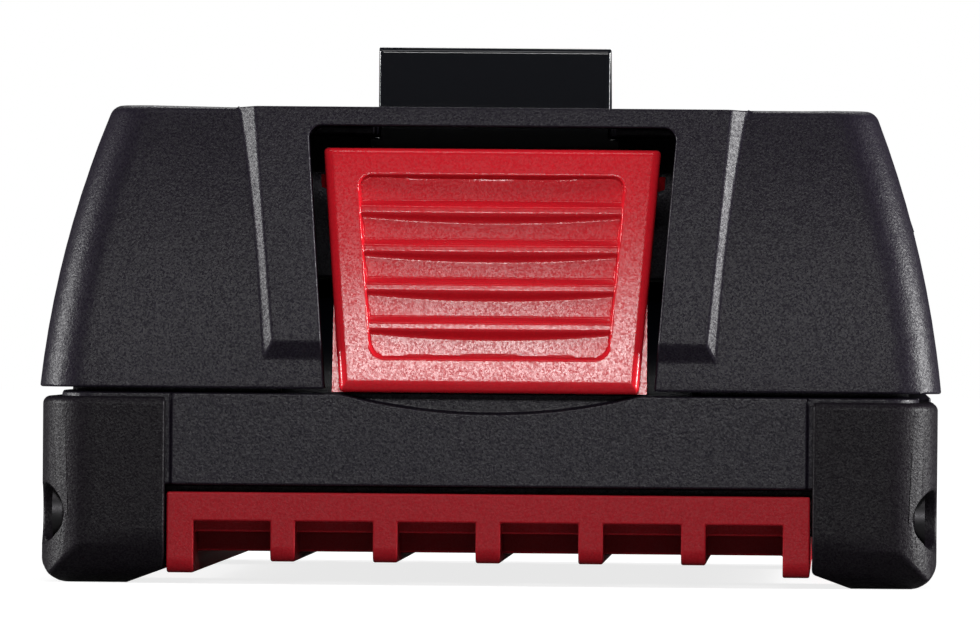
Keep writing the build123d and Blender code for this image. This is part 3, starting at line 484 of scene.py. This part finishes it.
def ridge_share(above_crest, fall):
    """Height of a ridge as a share of its full height, this far above the middle of its crest."""
    if above_crest > ridge_rise:
        return max(0, ridge_lip_share * (1 - (above_crest - ridge_rise) / ridge_lip_run))
    if above_crest > 0:
        return 1 - (1 - ridge_lip_share) * eased((above_crest - ridge_flat) / (ridge_rise - ridge_flat))
    return 1 - eased((-above_crest - ridge_flat) / fall)


def cap_half(height):
    """Half of the cap's width at this height, less at its rounded corners."""
    head_corner = rounding(button_head - height, button_head_corner)
    foot_corner = rounding(height - button_foot, button_foot_corner)
    return button_half(height) - max(head_corner, foot_corner)


def cap_depth(x, height):
    """How far the cap's surface lies behind its front face."""
    edge = max(
        rounding(cap_half(height) - abs(x), button_edge),
        rounding(button_head - height, button_head_edge),
        rounding(height - button_foot, button_foot_round),
    )
    inside = panel_inside(x, height)
    if inside <= 0:
        return edge
    across = min(abs(x) / panel_half(height), 1)
    floor_depth = panel_depth + panel_dish * (1 - across**2)
    fall = (floor_depth - ridge_crest_depth) / ridge_ledge_slope
    ridge = max(ridge_share(height - crest, fall) for crest in ridge_crests)
    depth = floor_depth - ridge * (floor_depth - ridge_crest_depth)
    return edge + min(depth, (panel_depth + panel_dish) * eased(inside / panel_step))


cap_face = bowed_line(button_foot + button_foot_round, button_head - button_head_edge)
cap_back_foot = cap_face(button_foot) + cap_thickness
cap_back_head = cap_face(button_head) + cap_thickness


def cap_back(height):
    """Flat plane behind the cap, where the skirts begin."""
    share = (height - button_foot) / (button_head - button_foot)
    return cap_back_foot + share * (cap_back_head - cap_back_foot)


# The cap: a fine grid, from -1 to 1 both ways, laid over the CAD button's face and set back at its edges,
# panel and ridges. Its rim is drawn back to a flat plane and closed there.
bpy.ops.object.select_all(action="DESELECT")
bpy.ops.mesh.primitive_grid_add(x_subdivisions=cap_columns, y_subdivisions=cap_rows, size=2)
button = bpy.context.object
button.name = "thumb_button"
for vertex in button.data.vertices:
    across, along, _ = vertex.co
    height = button_foot + (along + 1) / 2 * (button_head - button_foot)
    x = across * cap_half(height)
    vertex.co = (x, cap_face(height) + cap_depth(x, height), height)
select_only(button)
bpy.ops.object.mode_set(mode="EDIT")
bpy.ops.mesh.select_mode(type="EDGE")
bpy.ops.mesh.select_all(action="DESELECT")
bpy.ops.mesh.select_non_manifold()
bpy.ops.mesh.extrude_edges_move(TRANSFORM_OT_translate={"value": (0, cap_thickness, 0)})
bpy.ops.object.mode_set(mode="OBJECT")
for vertex in button.data.vertices:
    if vertex.select:
        vertex.co.y = cap_back(vertex.co.z)
bpy.ops.object.mode_set(mode="EDIT")
bpy.ops.mesh.edge_face_add()
bpy.ops.mesh.select_all(action="SELECT")
bpy.ops.mesh.normals_make_consistent(inside=False)
bpy.ops.object.mode_set(mode="OBJECT")
smooth(button, angle=cap_smooth_angle)

# The skirts: the CAD button behind that plane, overlapping the cap a little. Their side flanges narrow from
# the foot up to flange_top, and their stop lugs are cut down to the small marks that show beside the cap.
skirts = own_copy("button_skirts", "release_button")
select_only(skirts)
back_slope = Vector((0, cap_back_head - cap_back_foot, button_head - button_foot))
bpy.ops.object.mode_set(mode="EDIT")
bpy.ops.mesh.select_all(action="SELECT")
bpy.ops.mesh.bisect(
    plane_co=(0, cap_back_foot - skirt_overlap, button_foot),
    plane_no=back_slope.cross(Vector((1, 0, 0))).normalized(),
    use_fill=True,
    clear_inner=True,
)
bpy.ops.mesh.select_all(action="SELECT")
bpy.ops.mesh.bisect(plane_co=(0, 0, flange_top), plane_no=(0, 0, 1))
bpy.ops.object.mode_set(mode="OBJECT")
for vertex in skirts.data.vertices:
    height = vertex.co.z
    beside = abs(vertex.co.x) - button_half(height)
    if 0 < beside < flange_reach:
        narrowing = min(max((height - button_foot) / (flange_top - button_foot), 0), 1)
        vertex.co.x -= math.copysign(beside * narrowing, vertex.co.x)
lug_tips = [
    vertex.co
    for vertex in skirts.data.vertices
    if vertex.co.z > flange_top and abs(vertex.co.x) - button_half(vertex.co.z) > flange_reach
]
lug_back = max(tip.y for tip in lug_tips)
lug_middle = sum(tip.z for tip in lug_tips) / len(lug_tips)
for tip in lug_tips:
    tip.y += lug_lean * (lug_back - tip.y)
    tip.z += lug_taper * (lug_middle - tip.z)
    tip.x = math.copysign(button_half(tip.z) + lug_shown, tip.x)
smooth(skirts, angle=skirt_smooth_angle)
bpy.ops.object.select_all(action="DESELECT")
skirts.select_set(True)
button.select_set(True)
bpy.context.view_layer.objects.active = button
bpy.ops.object.join()
button.data.materials.append(button_nylon)
fit_to_frame(button, "release_button")

# Latch hook: black acetal, smooth and glossy, moulded in one with the slide plate that runs up and down
# behind the button. It stands out through the top of the upper housing and catches in the tool's rail.
hook_edge = 0.14 * mm
hook_black = (0.0055, 0.006, 0.008)
hook = moulding("hook_slide", "latch_hook", hook_edge)
hook.data.materials.append(
    moulded_plastic("hook_acetal", hook_black, roughness=0.12, specular=0.36, grain=0.02, sparkle=0.1)
)
fit_to_frame(hook, "latch_hook")


# Screws: bought in. Blackened steel ones hold the bumpers and the two housings, and small zinc-plated ones
# hold the board to the cell holders.
metal_detail = 4
metal_gloss = 0.7
metal_dullness = 1.4
metal_shade = 0.8
metal_grain = 0.15
metal_grain_depth = 0.02 * mm


def worked_metal(name, color, roughness, grain_size, stretch=(1, 1, 1)):
    """Metal with fine grain drawn out along one direction, duller in patches."""
    material = bpy.data.materials.new(name)
    material.use_nodes = True
    tree = material.node_tree
    links = tree.links
    shader = tree.nodes["Principled BSDF"]
    shader.inputs["Metallic"].default_value = 1
    place = tree.nodes.new("ShaderNodeTexCoord")
    drawn = tree.nodes.new("ShaderNodeMapping")
    drawn.inputs["Scale"].default_value = stretch
    links.new(place.outputs["Object"], drawn.inputs["Vector"])
    grain = tree.nodes.new("ShaderNodeTexNoise")
    grain.inputs["Scale"].default_value = 1 / grain_size
    grain.inputs["Detail"].default_value = metal_detail
    links.new(drawn.outputs["Vector"], grain.inputs["Vector"])
    rough = tree.nodes.new("ShaderNodeMapRange")
    rough.inputs["To Min"].default_value = roughness * metal_gloss
    rough.inputs["To Max"].default_value = roughness * metal_dullness
    links.new(grain.outputs["Fac"], rough.inputs["Value"])
    links.new(rough.outputs["Result"], shader.inputs["Roughness"])
    shades = tree.nodes.new("ShaderNodeValToRGB")
    shades.color_ramp.elements[0].color = (*[channel * metal_shade for channel in color], 1)
    shades.color_ramp.elements[1].color = (*color, 1)
    links.new(grain.outputs["Fac"], shades.inputs["Fac"])
    links.new(shades.outputs["Color"], shader.inputs["Base Color"])
    bump = tree.nodes.new("ShaderNodeBump")
    bump.inputs["Strength"].default_value = metal_grain
    bump.inputs["Distance"].default_value = metal_grain_depth
    links.new(grain.outputs["Fac"], bump.inputs["Height"])
    links.new(bump.outputs["Normal"], shader.inputs["Normal"])
    return material


def finish(material, *node_names):
    """Gives CAD nodes that show as they are their material."""
    for node_name in node_names:
        nodes[node_name].data.materials.clear()
        nodes[node_name].data.materials.append(material)


screw_black = (0.035, 0.034, 0.036)
screw_zinc = (0.62, 0.63, 0.65)
blackened_steel = worked_metal("blackened_steel", screw_black, roughness=0.42, grain_size=0.4 * mm)
zinc_steel = worked_metal("zinc_steel", screw_zinc, roughness=0.3, grain_size=0.4 * mm)
finish(blackened_steel, "bumper_screws", "housing_screws")
finish(zinc_steel, "board_screws")

# Terminals: forked contacts stamped from brass strip, two for the current and others for the signals. They
# stand on the terminal block's floor, with legs down to the board.
brass_yellow = (0.72, 0.5, 0.2)
contact_brass = worked_metal(
    "contact_brass", brass_yellow, roughness=0.3, grain_size=0.15 * mm, stretch=(1, 0.1, 1)
)
finish(contact_brass, "terminal_positive", "terminal_negative", "signal_contacts")

# Series links and end tabs: strips cut from nickel sheet and spot-welded to the ends of the cells. Each has
# a tab that runs up to the board.
nickel_grey = (0.66, 0.63, 0.57)
nickel_strip = worked_metal(
    "nickel_strip", nickel_grey, roughness=0.3, grain_size=0.5 * mm, stretch=(1, 0.15, 1)
)
finish(nickel_strip, *[name for name in nodes if name.startswith("series_link") or name.endswith("_tab")])

# Latch springs: two compression springs coiled from steel wire, between the tub's floor and the hook's
# foot. They hold the hook up, and they shorten by its travel as the button goes in.
spring_grey = (0.42, 0.43, 0.45)
spring_smooth_angle = 50
spring_steel = worked_metal(
    "spring_steel", spring_grey, roughness=0.28, grain_size=0.3 * mm, stretch=(1, 1, 0.3)
)
for node_name in ("latch_spring_left", "latch_spring_right"):
    coil = own_copy(f"{node_name}_coil", node_name)
    smooth(coil, angle=spring_smooth_angle)
    coil.data.materials.append(spring_steel)
    fit_to_frame(coil, node_name)
    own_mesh(coil)

# Cells: five round lithium cells side by side, lying across the pack, each a drawn steel can in a shrunk
# plastic sleeve. The holders at their ends keep them apart.
sleeve_blue = (0.006, 0.008, 0.014)
cell_sleeve = moulded_plastic(
    "cell_sleeve", sleeve_blue, roughness=0.4, specular=0.3, grain=0.05, sparkle=0.1
)
finish(cell_sleeve, *[name for name in nodes if name.startswith("cell_") and name[5:].isdigit()])

# Cell holders: two combs moulded in black nylon, which stand in the tub and take the cells' ends. The board
# is screwed down on them.
holder_black = (0.02, 0.02, 0.022)
holder_nylon = moulded_plastic(
    "holder_nylon", holder_black, roughness=0.5, specular=0.4, grain=0.3, sparkle=0.06
)
finish(holder_nylon, "cell_holder_left", "cell_holder_right")

# End insulators: sheets of pressed fibre card, cut flat and slipped in between the links and the walls of
# the housing.
card_buff = (0.55, 0.5, 0.38)
insulator_card = moulded_plastic(
    "insulator_card", card_buff, roughness=0.75, specular=0.3, grain=0.3, sparkle=0.05
)
finish(insulator_card, "end_insulator_left", "end_insulator_right")

# Foam pad: a thin sheet cut from closed-cell foam and laid on the floor of the tub. The cells press on it,
# so that they can't rattle.
foam_black = (0.03, 0.03, 0.032)
pad_foam = moulded_plastic("pad_foam", foam_black, roughness=0.9, specular=0.2, grain=0.8, sparkle=0.05)
finish(pad_foam, "foam_pad")

# Protection board and its parts: green glass-epoxy laminate screwed down over the cells, with a control
# chip, power switches and a shunt soldered on it, and a thermistor bead between two cells on its leads.
laminate_green = (0.008, 0.075, 0.03)
chip_black = (0.012, 0.012, 0.013)
resistor_black = (0.03, 0.03, 0.03)
bead_brown = (0.25, 0.12, 0.03)
board_laminate = moulded_plastic(
    "board_laminate", laminate_green, roughness=0.35, specular=0.5, grain=0.1, sparkle=0.05
)
chip_resin = moulded_plastic("chip_resin", chip_black, roughness=0.4, specular=0.5, grain=0.2, sparkle=0.05)
resistor_resin = moulded_plastic(
    "resistor_resin", resistor_black, roughness=0.5, specular=0.5, grain=0.2, sparkle=0.05
)
bead_resin = moulded_plastic(
    "bead_resin", bead_brown, roughness=0.3, specular=0.5, grain=0.05, sparkle=0.03
)
finish(board_laminate, "circuit_board")
finish(chip_resin, "control_chip", "power_switches")
finish(resistor_resin, "shunt_resistor")
finish(bead_resin, "thermistor")

# Terminal block: socket moulded in black nylon and fixed on the board under the housing's slots. It has a
# slot of its own for each of the tool's blades.
socket_black = (0.013, 0.0125, 0.015)
socket_nylon = moulded_plastic(
    "socket_nylon", socket_black, roughness=0.45, specular=0.4, grain=0.3, sparkle=0.06
)
finish(socket_nylon, "terminal_block")
